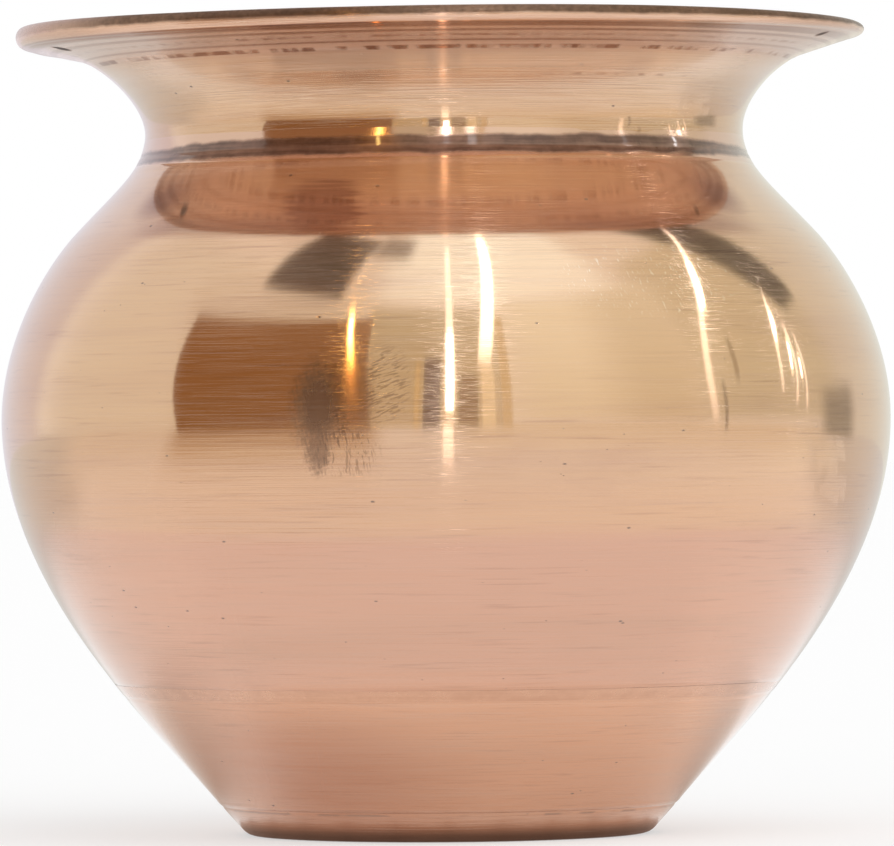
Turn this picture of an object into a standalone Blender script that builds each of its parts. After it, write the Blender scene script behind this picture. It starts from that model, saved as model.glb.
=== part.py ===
# Copper kalash pot: three spun sheet shells, two brazed lap seams and a wired rim.
# Sizes are metres and degrees. The pot stands on z = 0 and its axis is +Z.

import math

import bmesh
import bpy
import numpy as np
from mathutils import Vector
from mathutils.geometry import interpolate_bezier

# Sheet, wire and fits
SHEET = 0.0006  # thickness of the copper sheet
WIRE_RADIUS = 0.0005  # stiffening wire inside the rolled rim
WIRE_CLEARANCE = 0.0002  # between the wire and the roll around it
CREASE_GAP = 0.0003  # between the roll's end and the flare it closes on
LAP_CLEARANCE = 0.0003  # between the two sheets of a lap seam
LOWER_LAP = 0.0050  # overlap of the sheets at the lower seam
THROAT_LAP = 0.0026  # overlap of the sheets at the throat seam
JOGGLE_LENGTH = 0.0016  # ramp on which the belly steps in under its neighbour
BRAZE_CLEARANCE = 0.00015  # between the filler and the sheets beside it

# Foot and cone
BASE_RADIUS = 0.0249  # where the cone's line meets the resting plane
BASE_CORNER_RADIUS = 0.0020
FOOT_WIDTH = 0.0050  # flat ring on which the pot stands
DISH_DEPTH = 0.0010  # rise of the bottom inside that ring
CONE_ANGLE = 41.7  # from the axis
CONE_HEIGHT = 0.0110  # end of the straight cone
LOWER_SEAM_RISE = 0.0065  # edge of the cup above the straight cone

# Belly and shoulder
BELLY_RADIUS = 0.0550
BELLY_HEIGHT = 0.0513
SHOULDER_RISE = 0.0228  # from the belly's widest line up to the straight shoulder
SHOULDER_ANGLE = 42.8  # from the axis

# Throat, flare and rim
THROAT_RADIUS = 0.0370
THROAT_RISE = 0.0127  # above the shoulder's lower end
THROAT_SEAM_DROP = 0.0026  # edge of the collar below the narrowest line
FLARE_ANGLE = 15.0  # from the resting plane
FLARE_WIDTH = 0.0068  # straight stretch between the neck's curve and the bead
RIM_RADIUS = 0.0525
RIM_RISE = 0.0134  # from the throat to the top of the rim

# Fullness of each curve: handle lengths as parts of that curve's own chord, from start to end
DISH_PULLS = (0.50, 0.35)
LOWER_BELLY_PULLS = (0.31, 0.35)
UPPER_BELLY_PULLS = (0.44, 0.16)
SHOULDER_PULLS = (0.53, 0.28)
NECK_PULLS = (0.28, 0.34)

# Fineness of the turned surfaces
FACETS = 48  # around the axis
CURVE_POINTS = 120  # along one curve, before the stations are picked from it
CHORD_ERROR = 0.00004  # between a curve and the straight facets that stand for it
ROLL_STEPS = 12
WIRE_SIDES = 10
MERGE_DISTANCE = 0.00001
SHARP_ANGLE = 35.0

SHOULDER_RADIUS = (BELLY_RADIUS + THROAT_RADIUS) / 2
SHOULDER_HEIGHT = BELLY_HEIGHT + SHOULDER_RISE
THROAT_HEIGHT = SHOULDER_HEIGHT + THROAT_RISE
LOWER_SEAM_HEIGHT = CONE_HEIGHT + LOWER_SEAM_RISE
THROAT_SEAM_HEIGHT = THROAT_HEIGHT - THROAT_SEAM_DROP
BEAD_RADIUS = WIRE_RADIUS + WIRE_CLEARANCE + SHEET
BEAD_CENTRE = Vector((RIM_RADIUS - BEAD_RADIUS, THROAT_HEIGHT + RIM_RISE - BEAD_RADIUS))
LAP_DEPTH = SHEET + LAP_CLEARANCE

OUT = Vector((1.0, 0.0))
UP = Vector((0.0, 1.0))


def direction(degrees):
    """Unit vector in the section plane, measured from the radial direction."""
    angle = math.radians(degrees)
    return Vector((math.cos(angle), math.sin(angle)))


def curve(start, leaving, end, arriving, pulls):
    """Smooth curve between two points with the given directions at its ends."""
    chord = (end - start).length
    first = start + leaving * chord * pulls[0]
    second = end - arriving * chord * pulls[1]
    return [Vector(point[:2]) for point in interpolate_bezier(start, first, second, end, CURVE_POINTS)]


def arc(centre, radius, first, last, steps):
    """Points and outward normals on a circular arc between two angles in degrees."""
    angles = [first + (last - first) * step / steps for step in range(steps + 1)]
    return [(centre + direction(angle) * radius, direction(angle)) for angle in angles]


class Wall:
    """The pot's outer face as one line, from the middle of the bottom to the flare."""

    def __init__(self, stretches):
        points = list(stretches[0])
        for stretch in stretches[1:]:
            points += stretch[1:]
        steps = [after - before for before, after in zip(points, points[1:])]
        bends = [before.angle(after) for before, after in zip(steps, steps[1:])]
        self.points = np.array(points)
        self.lengths = np.cumsum([0.0] + [step.length for step in steps])
        facets = [math.sqrt(bend * step.length / (8 * CHORD_ERROR)) for bend, step in zip(bends, steps)]
        self.facets = np.cumsum([0.0] + facets + [0.0])
        self.slopes = np.gradient(self.points, self.lengths, axis=0)
        ends = np.cumsum([len(stretch) - 1 for stretch in stretches])
        self.joints = [self.lengths[end] for end in ends]

    def at(self, length):
        """Point on the outer face and its outward normal."""
        point = [np.interp(length, self.lengths, column) for column in self.points.T]
        slope = [np.interp(length, self.lengths, column) for column in self.slopes.T]
        return Vector(point), Vector((slope[1], -slope[0])).normalized()

    def length_at(self, height):
        """Distance along the line at which the side wall reaches a height."""
        side = int(np.argmax(self.points[:, 0] >= BASE_RADIUS))
        return float(np.interp(height, self.points[side:, 1], self.lengths[side:]))

    def stations(self, start, end):
        """Distances from start to end: every joint, and between joints as many as the bend needs."""
        bounds = [start] + [joint for joint in self.joints if start < joint < end] + [end]
        marks = [start]
        for first, last in zip(bounds, bounds[1:]):
            reach = np.interp([first, last], self.lengths, self.facets)
            count = max(1, math.ceil(reach[1] - reach[0]))
            marks += list(np.interp(np.linspace(*reach, count + 1)[1:-1], self.facets, self.lengths))
            marks.append(last)
        return marks

    def stretch(self, start, end):
        """Points and outward normals from start to end."""
        return [self.at(length) for length in self.stations(start, end)]


def outer_wall():
    cone = direction(90.0 - CONE_ANGLE)
    corner_reach = BASE_CORNER_RADIUS * math.tan(math.radians(90.0 - CONE_ANGLE) / 2)
    bottom = Vector((0.0, DISH_DEPTH))
    foot_outer = Vector((BASE_RADIUS - corner_reach, 0.0))
    foot_inner = foot_outer - OUT * FOOT_WIDTH
    corner_centre = foot_outer + UP * BASE_CORNER_RADIUS
    corner = arc(corner_centre, BASE_CORNER_RADIUS, -90.0, -CONE_ANGLE, CURVE_POINTS)
    corner = [point for point, normal in corner]
    cone_top = Vector((BASE_RADIUS, 0.0)) + cone * (CONE_HEIGHT / cone.y)
    belly = Vector((BELLY_RADIUS, BELLY_HEIGHT))
    shoulder = Vector((SHOULDER_RADIUS, SHOULDER_HEIGHT))
    shoulder_slope = direction(90.0 + SHOULDER_ANGLE)
    throat = Vector((THROAT_RADIUS, THROAT_HEIGHT))
    flare = direction(FLARE_ANGLE)
    flare_end = BEAD_CENTRE + direction(FLARE_ANGLE - 90.0) * BEAD_RADIUS
    flare_start = flare_end - flare * FLARE_WIDTH
    return Wall([
        curve(bottom, OUT, foot_inner, OUT, DISH_PULLS),
        [foot_inner, foot_outer],
        corner,
        [corner[-1], cone_top],
        curve(cone_top, cone, belly, UP, LOWER_BELLY_PULLS),
        curve(belly, UP, shoulder, shoulder_slope, UPPER_BELLY_PULLS),
        curve(shoulder, shoulder_slope, throat, UP, SHOULDER_PULLS),
        curve(throat, UP, flare_start, flare, NECK_PULLS),
        [flare_start, flare_end],
    ])


def sheet_outline(face):
    """Closed section of a sheet whose outer face is given: down the outside, up the inside."""
    outside = [point for point, normal in face]
    inside = [point - normal * SHEET for point, normal in face]
    return outside[::-1] + inside


def sunk(face, depth):
    """The same face, set in from the outer wall."""
    return [(point - normal * depth, normal) for point, normal in face]


def filler_outline(wall, edge, ramp_end):
    """Section of the filler between a sheet's free edge and the ramp beside it."""
    way = 1.0 if ramp_end > edge else -1.0
    steepness = LAP_DEPTH / JOGGLE_LENGTH
    inset = BRAZE_CLEARANCE * math.hypot(1.0, steepness)
    near = edge + way * BRAZE_CLEARANCE
    far = ramp_end - way * inset / steepness
    middle = (near + far) / 2
    root_depth = LAP_DEPTH - steepness * BRAZE_CLEARANCE - inset
    root, root_normal = wall.at(near)
    face = [wall.at(length)[0] for length in (near, middle, far)]
    return face + [root - root_normal * root_depth]


def copper(name, colour, roughness):
    material = bpy.data.materials.new(name)
    material.use_nodes = True
    shader = material.node_tree.nodes["Principled BSDF"]
    shader.inputs["Base Color"].default_value = (*colour, 1.0)
    shader.inputs["Metallic"].default_value = 1.0
    shader.inputs["Roughness"].default_value = roughness
    material.diffuse_color = (*colour, 1.0)
    return material


def turned(name, outline, seat, material, parent):
    """Object made by turning a section about the axis, with its origin at the seat height."""
    work = bmesh.new()
    corners = [work.verts.new((point.x, 0.0, point.y - seat)) for point in outline]
    pairs = zip(corners, corners[1:] + corners[:1])
    edges = [work.edges.new(pair) for pair in pairs if pair[0].co.x + pair[1].co.x > MERGE_DISTANCE]
    bmesh.ops.spin(
        work, geom=corners + edges, cent=(0, 0, 0), axis=(0, 0, 1), angle=math.tau, steps=FACETS, use_merge=True
    )
    bmesh.ops.remove_doubles(work, verts=work.verts, dist=MERGE_DISTANCE)
    bmesh.ops.recalc_face_normals(work, faces=work.faces)
    mesh = bpy.data.meshes.new(name)
    work.to_mesh(mesh)
    work.free()
    mesh.materials.append(material)
    mesh.shade_smooth()
    mesh.set_sharp_from_angle(angle=math.radians(SHARP_ANGLE))
    piece = bpy.data.objects.new(name, mesh)
    bpy.context.scene.collection.objects.link(piece)
    piece.parent = parent
    piece.location.z = seat
    return piece


def base_cup(wall, pot):
    face = wall.stretch(0.0, wall.length_at(LOWER_SEAM_HEIGHT))
    material = copper("base_cup_copper", (0.72, 0.38, 0.24), 0.30)
    turned("base_cup", sheet_outline(face), 0.0, material, pot)


def belly_shell(wall, pot):
    low = wall.length_at(LOWER_SEAM_HEIGHT)
    high = wall.length_at(THROAT_SEAM_HEIGHT)
    face = sunk(wall.stretch(low - LOWER_LAP, low), LAP_DEPTH)
    face += wall.stretch(low + JOGGLE_LENGTH, high - JOGGLE_LENGTH)
    face += sunk(wall.stretch(high, high + THROAT_LAP), LAP_DEPTH)
    material = copper("belly_shell_copper", (0.78, 0.43, 0.29), 0.22)
    turned("belly_shell", sheet_outline(face), LOWER_SEAM_HEIGHT, material, pot)


def neck_collar(wall, pot):
    tail = math.degrees(math.asin((BEAD_RADIUS - SHEET - CREASE_GAP) / BEAD_RADIUS))
    first = FLARE_ANGLE - 90.0
    last = FLARE_ANGLE + 180.0 + tail
    face = wall.stretch(wall.length_at(THROAT_SEAM_HEIGHT), wall.lengths[-1])
    face += arc(BEAD_CENTRE, BEAD_RADIUS, first, last, ROLL_STEPS)[1:]
    material = copper("neck_collar_copper", (0.78, 0.43, 0.29), 0.20)
    turned("neck_collar", sheet_outline(face), THROAT_SEAM_HEIGHT, material, pot)


def rim_wire(pot):
    round_section = arc(BEAD_CENTRE, WIRE_RADIUS, 0.0, -360.0, WIRE_SIDES)[:-1]
    material = copper("rim_wire_copper", (0.62, 0.32, 0.20), 0.40)
    turned("rim_wire", [point for point, normal in round_section], BEAD_CENTRE.y, material, pot)


def braze_rings(wall, pot):
    low = wall.length_at(LOWER_SEAM_HEIGHT)
    high = wall.length_at(THROAT_SEAM_HEIGHT)
    lower_material = copper("lower_braze_filler", (0.62, 0.34, 0.22), 0.35)
    lower = filler_outline(wall, low, low + JOGGLE_LENGTH)
    turned("lower_braze", lower, LOWER_SEAM_HEIGHT, lower_material, pot)
    throat_material = copper("throat_braze_filler", (0.30, 0.19, 0.14), 0.50)
    throat = filler_outline(wall, high, high - JOGGLE_LENGTH)
    turned("throat_braze", throat, THROAT_SEAM_HEIGHT, throat_material, pot)


def main():
    for old in list(bpy.data.objects):
        bpy.data.objects.remove(old, do_unlink=True)
    pot = bpy.data.objects.new("kalash_pot", None)
    bpy.context.scene.collection.objects.link(pot)
    wall = outer_wall()
    base_cup(wall, pot)
    belly_shell(wall, pot)
    neck_collar(wall, pot)
    rim_wire(pot)
    braze_rings(wall, pot)


main()
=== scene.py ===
import math

import bpy
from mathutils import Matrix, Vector
from mathutils.geometry import interpolate_bezier


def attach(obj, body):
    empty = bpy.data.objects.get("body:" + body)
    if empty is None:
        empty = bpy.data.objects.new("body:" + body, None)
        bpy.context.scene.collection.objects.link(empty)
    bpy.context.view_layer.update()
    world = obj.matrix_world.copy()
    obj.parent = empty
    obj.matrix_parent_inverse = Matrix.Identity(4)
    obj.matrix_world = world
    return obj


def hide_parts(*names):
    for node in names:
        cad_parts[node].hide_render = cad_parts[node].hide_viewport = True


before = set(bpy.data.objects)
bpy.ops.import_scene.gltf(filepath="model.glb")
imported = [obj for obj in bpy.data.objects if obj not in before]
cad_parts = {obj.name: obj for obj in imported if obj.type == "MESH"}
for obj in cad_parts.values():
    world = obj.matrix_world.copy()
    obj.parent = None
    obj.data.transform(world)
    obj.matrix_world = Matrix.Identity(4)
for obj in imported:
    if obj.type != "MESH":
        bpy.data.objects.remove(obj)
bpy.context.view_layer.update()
print("packed frame loaded:", len(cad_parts), "solids")


# the photograph is 894 x 846 and was taken from just below the middle of the pot
cameraSet = {
    "place": (0.0, -1.0, 0.047), "aim": (0.0001, 0.0, 0.0508),
    "lens": 325.0, "sensor": 36.0, "roll": 0.45, "near": 0.01,
}


def placeCamera():
    bpy.ops.object.camera_add(location=cameraSet["place"])
    eye = bpy.context.object
    eye.name = "photoCamera"
    look = Vector(cameraSet["aim"]) - Vector(cameraSet["place"])
    turn = look.to_track_quat("-Z", "Y").to_matrix().to_4x4()
    eye.rotation_euler = turn.to_euler()
    eye.rotation_euler.rotate_axis("Z", math.radians(-cameraSet["roll"]))
    eye.data.lens = cameraSet["lens"]
    eye.data.sensor_width = cameraSet["sensor"]
    eye.data.clip_start = cameraSet["near"]
    bpy.context.scene.camera = eye


placeCamera()


# outside line of the whole pot in its section plane, metres and degrees
potLine = {
    "baseRadius": 0.0249, "cornerRadius": 0.0020, "footWidth": 0.0050, "dishRise": 0.0010,
    "coneAngle": 41.7, "coneTop": 0.0110,
    "bellyRadius": 0.0550, "bellyHeight": 0.0513,
    "shoulderRadius": 0.0460, "shoulderHeight": 0.0741, "shoulderAngle": 42.8,
    "throatRadius": 0.0370, "throatHeight": 0.0868,
    "flareAngle": 15.0, "flareWidth": 0.0068,
    "rimRadius": 0.0525, "rimTop": 0.0998, "beadRadius": 0.00105,
    "sheet": 0.0006, "lapDepth": 0.0009, "joggle": 0.0016,
    "lowerSeam": 0.0175, "lowerLap": 0.0050, "throatSeam": 0.0842, "throatLap": 0.0026,
    "pulls": {"dish": (0.50, 0.35), "lower": (0.31, 0.35), "upper": (0.44, 0.16),
              "shoulder": (0.53, 0.28), "neck": (0.28, 0.34)},
    "curvePoints": 240, "lineSteps": 60,
}
turns = 192  # facets round the pot
beadCentre = Vector((potLine["rimRadius"] - potLine["beadRadius"],
                     potLine["rimTop"] - potLine["beadRadius"]))


def aim(degrees):
    return Vector((math.cos(math.radians(degrees)), math.sin(math.radians(degrees))))


def bend(start, leaving, end, arriving, pull):
    chord = (end - start).length
    first, second = start + leaving * chord * pull[0], end - arriving * chord * pull[1]
    curve = interpolate_bezier(start, first, second, end, potLine["curvePoints"])
    return [Vector(point[:2]) for point in curve]


def drawWall():
    p = potLine
    up, out = Vector((0, 1)), Vector((1, 0))
    span = 90 - p["coneAngle"]
    cone = aim(span)
    reach = p["cornerRadius"] * math.tan(math.radians(span) / 2)
    footOut = Vector((p["baseRadius"] - reach, 0))
    footIn = footOut - out * p["footWidth"]
    cornerMiddle = footOut + up * p["cornerRadius"]
    count = p["lineSteps"]
    angles = [-90 + span * step / count for step in range(count + 1)]
    corner = [cornerMiddle + aim(angle) * p["cornerRadius"] for angle in angles]
    coneEnd = Vector((p["baseRadius"], 0)) + cone * (p["coneTop"] / cone.y)
    belly = Vector((p["bellyRadius"], p["bellyHeight"]))
    shoulder = Vector((p["shoulderRadius"], p["shoulderHeight"]))
    slope = aim(90 + p["shoulderAngle"])
    throat = Vector((p["throatRadius"], p["throatHeight"]))
    flare = aim(p["flareAngle"])
    flareEnd = beadCentre + aim(p["flareAngle"] - 90) * p["beadRadius"]
    flareStart = flareEnd - flare * p["flareWidth"]
    pull = p["pulls"]
    line = bend(Vector((0, p["dishRise"])), out, footIn, out, pull["dish"])
    line += [footOut] + corner[1:]
    line += [corner[-1].lerp(coneEnd, step / count) for step in range(1, count + 1)]
    line += bend(coneEnd, cone, belly, up, pull["lower"])[1:]
    line += bend(belly, up, shoulder, slope, pull["upper"])[1:]
    line += bend(shoulder, slope, throat, up, pull["shoulder"])[1:]
    line += bend(throat, up, flareStart, flare, pull["neck"])[1:]
    line += [flareStart.lerp(flareEnd, step / count) for step in range(1, count + 1)]
    return line


wall = drawWall()
wallRun = [0.0]
for before, after in zip(wall, wall[1:]):
    wallRun.append(wallRun[-1] + (after - before).length)


def spotOn(run):  # point on the outside and its outward normal, by distance along the line
    step = next((i for i, end in enumerate(wallRun) if end >= run), len(wall) - 1)
    step = max(1, step)
    share = (run - wallRun[step - 1]) / (wallRun[step] - wallRun[step - 1])
    along = (wall[step] - wall[step - 1]).normalized()
    back = (wall[max(1, step - 1)] - wall[max(0, step - 2)]).normalized()
    ahead = (wall[min(len(wall) - 1, step + 1)] - wall[min(len(wall) - 2, step)]).normalized()
    along = (back.lerp(along, 0.5)).lerp(along.lerp(ahead, 0.5), min(max(share, 0), 1)).normalized()
    return wall[step - 1].lerp(wall[step], share), Vector((along.y, -along.x))


def runAt(height):  # distance along the line where the side reaches a height
    first = next(i for i, point in enumerate(wall) if point.x >= potLine["baseRadius"])
    step = next(i for i in range(first, len(wall)) if wall[i].y >= height)
    share = (height - wall[step - 1].y) / (wall[step].y - wall[step - 1].y)
    return wallRun[step - 1] + share * (wallRun[step] - wallRun[step - 1])


def stretch(start, end, gap, rings=(), depth=0.0):
    # the outside from start to end; each ring is (height, push outwards, half width)
    count = max(2, math.ceil((end - start) / gap))
    marks = {round(start + (end - start) * i / count, 7) for i in range(count + 1)}
    places = [(runAt(height), push, width) for height, push, width in rings]
    for middle, push, width in places:
        near = [middle + width * i / 2 for i in range(-5, 6)]
        marks |= {round(run, 7) for run in near if start < run < end}
    line = []
    for run in sorted(marks):
        spot, normal = spotOn(run)
        push = sum(push * math.exp(-((run - middle) / width) ** 2) for middle, push, width in places)
        line.append(spot + normal * (push - depth))
    return line


lowRun, highRun = runAt(potLine["lowerSeam"]), runAt(potLine["throatSeam"])


def lathe(name, line, closed=False):
    bpy.ops.object.select_all(action="DESELECT")
    bpy.ops.mesh.primitive_plane_add(size=0.002)
    piece = bpy.context.object
    piece.name = piece.data.name = name
    bpy.ops.object.mode_set(mode="EDIT")
    bpy.ops.mesh.select_mode(type="VERT")
    bpy.ops.mesh.select_all(action="SELECT")
    bpy.ops.mesh.merge(type="CENTER")  # one point left, which draws the section
    bpy.ops.transform.translate(value=(line[0].x, 0, line[0].y))
    for before, after in zip(line, line[1:] + line[:1] if closed else line[1:]):
        step = after - before
        bpy.ops.mesh.extrude_vertices_move(TRANSFORM_OT_translate={"value": (step.x, 0, step.y)})
    bpy.ops.mesh.select_all(action="SELECT")
    bpy.ops.mesh.spin(steps=turns, angle=math.tau, center=(0, 0, 0), axis=(0, 0, 1), use_auto_merge=True)
    bpy.ops.mesh.select_all(action="SELECT")
    bpy.ops.mesh.remove_doubles(threshold=0.000004)
    bpy.ops.mesh.normals_make_consistent(inside=False)
    bpy.ops.object.mode_set(mode="OBJECT")
    return piece


def facesOut(piece):  # turns a shell round if its normals look at the axis
    lean = sum(face.normal.xy.dot(face.center.xy) * face.area for face in piece.data.polygons)
    if lean < 0:
        bpy.ops.object.mode_set(mode="EDIT")
        bpy.ops.mesh.select_all(action="SELECT")
        bpy.ops.mesh.flip_normals()
        bpy.ops.object.mode_set(mode="OBJECT")


def applied(piece, kind, **settings):
    bpy.ops.object.select_all(action="DESELECT")
    piece.select_set(True)
    bpy.context.view_layer.objects.active = piece
    bpy.ops.object.modifier_add(type=kind)
    change = piece.modifiers[-1]
    for key, value in settings.items():
        setattr(change, key, value)
    bpy.ops.object.modifier_apply(modifier=change.name)


def cloudMap(name, size):
    cloud = bpy.data.textures.new(name, "CLOUDS")
    cloud.noise_scale = size
    cloud.noise_depth = 2
    return cloud


def handWorked(piece, dents):  # slight unevenness left by spinning and hammering
    for size, height in dents:
        applied(piece, "DISPLACE", texture=cloudMap(piece.name + "Dents", size), texture_coords="LOCAL",
                strength=height, mid_level=0.5, direction="NORMAL")


def sheetWall(piece):
    facesOut(piece)
    bpy.context.view_layer.objects.active = piece
    for side in ("outside", "inside"):  # a slot for each side's finish
        bpy.ops.object.material_slot_add()
    applied(piece, "SOLIDIFY", thickness=potLine["sheet"], offset=-1.0, use_even_offset=True,
            material_offset=1, material_offset_rim=1)


def askew(piece):  # the collar sits slightly out of true, and its rim is rolled tighter at the right
    p = potLine
    flareFrom, flareReach = collarShape["flareZone"]
    beadFrom, beadReach = collarShape["beadZone"]
    raiseAt, raiseWidth = collarShape["raiseZone"]
    weights = {push: piece.vertex_groups.new(name=push) for push in collarShape["pushes"]}
    for corner in piece.data.vertices:
        side = corner.co.x / p["rimRadius"]
        left, right = min(max(-side, 0), 1), min(max(side, 0), 1)
        out = math.hypot(corner.co.x, corner.co.y)
        lift = min(max((corner.co.z - p["throatHeight"]) / (p["rimTop"] - p["throatHeight"]), 0), 1)
        over = min(max((corner.co.z - beadCentre.y) / p["beadRadius"], -1), 1)
        flare = min(max((out - flareFrom) / flareReach, 0), 1)
        bead = min(max((out - beadFrom) / beadReach, 0), 1)
        shares = {
            "lean": lift,
            "leftDrop": lift * left,
            "rightLift": lift * right,
            "tipLift": lift * left ** 4,
            "leftRaise": left * math.exp(-((out - raiseAt) / raiseWidth) ** 2),
            "swellUp": bead * left ** 2 * max(over, 0),
            "swellDown": bead * left ** 2 * max(-over, 0),
            "rollDown": bead * right ** 2 * max(over, 0),
            "rollUp": flare * right ** 2 * max(-over, 0),
        }
        for push, share in shares.items():
            weights[push].add([corner.index], share, "REPLACE")
    for push, (axis, strength) in collarShape["pushes"].items():
        applied(piece, "DISPLACE", strength=strength, mid_level=0.0, direction=axis, vertex_group=push)


def smoothed(piece, degrees=35):
    bpy.ops.object.select_all(action="DESELECT")
    piece.select_set(True)
    bpy.context.view_layer.objects.active = piece
    bpy.ops.object.shade_smooth_by_angle(angle=math.radians(degrees))


baseCupShape = {
    "gap": 0.0008, "footGap": 0.00056, "sideFrom": 0.0030,
    "rings": [(0.0036, -0.00006, 0.00022), (0.0041, 0.00003, 0.00025), (0.0172, -0.00004, 0.00030)],
    "dents": [(0.030, 0.00006)],
}


def makeBaseCup():
    shape = baseCupShape
    side = runAt(shape["sideFrom"])
    line = stretch(0.0, side, shape["footGap"])[:-1]
    line += stretch(side, lowRun, shape["gap"], shape["rings"])
    line[0].x = 0.0
    cup = lathe("baseCup", line)
    handWorked(cup, shape["dents"])
    sheetWall(cup)
    smoothed(cup)
    return cup


bellyShape = {
    "gap": 0.00075, "lapGap": 0.001,
    "rings": [(0.0205, -0.00002, 0.0006)],
    "dents": [(0.045, 0.00010), (0.016, 0.00002)],
}


def makeBelly():
    shape, p = bellyShape, potLine
    line = stretch(lowRun - p["lowerLap"], lowRun, shape["lapGap"], depth=p["lapDepth"])
    line += stretch(lowRun + p["joggle"], highRun - p["joggle"], shape["gap"], shape["rings"])
    line += stretch(highRun, highRun + p["throatLap"], shape["lapGap"], depth=p["lapDepth"])
    belly = lathe("bellyShell", line)
    handWorked(belly, shape["dents"])
    sheetWall(belly)
    smoothed(belly)
    return belly


collarShape = {
    "gap": 0.0006,
    "rings": [(0.0953, -0.00002, 0.00022), (0.0964, -0.00001, 0.00020), (0.0976, -0.00003, 0.00022)],
    "rollSteps": 26, "creaseGap": 0.0003,
    "dents": [(0.030, 0.00007), (0.012, 0.00002)],
    "pushes": {  # which way each part of the collar is pushed, and how far
        "lean": ("X", -0.00045), "leftDrop": ("Z", -0.00041), "rightLift": ("Z", 0.00041),
        "tipLift": ("Z", 0.00040), "leftRaise": ("Z", 0.00028),
        "swellUp": ("Z", 0.00022), "swellDown": ("Z", -0.00022),
        "rollDown": ("Z", -0.00040), "rollUp": ("Z", 0.00037),
    },
    "flareZone": (0.0415, 0.0085), "beadZone": (0.0490, 0.0015),  # radius where each begins, and reach
    "raiseZone": (0.0445, 0.003),  # middle radius and half width
}


def makeCollar():
    shape, p = collarShape, potLine
    line = stretch(highRun, wallRun[-1], shape["gap"], shape["rings"])
    tail = math.degrees(math.asin((p["beadRadius"] - p["sheet"] - shape["creaseGap"]) / p["beadRadius"]))
    first, last = p["flareAngle"] - 90, p["flareAngle"] + 180 + tail
    for step in range(1, shape["rollSteps"] + 1):
        around = first + (last - first) * step / shape["rollSteps"]
        line.append(beadCentre + aim(around) * p["beadRadius"])
    collar = lathe("neckCollar", line)
    handWorked(collar, shape["dents"])
    sheetWall(collar)
    askew(collar)
    smoothed(collar)
    return collar


rimWireShape = {"radius": 0.00045, "sides": 14}


def makeRimWire():
    sides = rimWireShape["sides"]
    line = [beadCentre + aim(360 * step / sides) * rimWireShape["radius"] for step in range(sides)]
    wire = lathe("rimWire", line, closed=True)
    askew(wire)
    smoothed(wire)
    return wire


throatBrazeShape = {
    "low": -0.0021, "high": 0.0019,  # reach along the wall from the collar's edge
    "proud": 0.00006, "sunk": 0.00001, "valley": -0.0004, "valleyWidth": 0.00018, "valleyShare": 0.9,
    "root": 0.00055, "rootRun": -0.0003, "steps": 18,
    "lumps": [(0.0040, 0.00003)],
}


def makeThroatBraze():
    shape = throatBrazeShape
    face = []
    for step in range(shape["steps"] + 1):
        share = step / shape["steps"]
        run = shape["low"] + (shape["high"] - shape["low"]) * share
        dip = shape["valleyShare"] * math.exp(-((run - shape["valley"]) / shape["valleyWidth"]) ** 2)
        swell = shape["proud"] * (math.sin(math.pi * share) ** 0.5 - dip)
        spot, normal = spotOn(highRun + run)
        face.append(spot + normal * (swell - shape["sunk"]))
    root, normal = spotOn(highRun + shape["rootRun"])
    braze = lathe("throatBraze", face + [root - normal * shape["root"]], closed=True)
    handWorked(braze, shape["lumps"])
    smoothed(braze, 50)
    return braze


lowerBrazeShape = {
    "low": -0.00003, "high": 0.0017, "proud": 0.000012,
    "root": 0.0005, "rootRun": 0.00017, "steps": 8,
    "lumps": [(0.006, 0.00001)],
}


def makeLowerBraze():
    shape = lowerBrazeShape
    face = []
    for step in range(shape["steps"] + 1):
        run = shape["low"] + (shape["high"] - shape["low"]) * step / shape["steps"]
        swell = shape["proud"] * math.sin(math.pi * (step + 1) / (shape["steps"] + 2))
        spot, normal = spotOn(lowRun + run)
        face.append(spot + normal * swell)
    root, normal = spotOn(lowRun + shape["rootRun"])
    braze = lathe("lowerBraze", [root - normal * shape["root"]] + face, closed=True)
    handWorked(braze, shape["lumps"])
    smoothed(braze, 50)
    return braze


baseCup = makeBaseCup()
print("base cup turned")
bellyShell = makeBelly()
print("belly turned")
neckCollar = makeCollar()
print("neck collar and rolled rim turned")
rimWire = makeRimWire()
throatBraze = makeThroatBraze()
lowerBraze = makeLowerBraze()
print("rim wire and braze rings laid")


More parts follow.
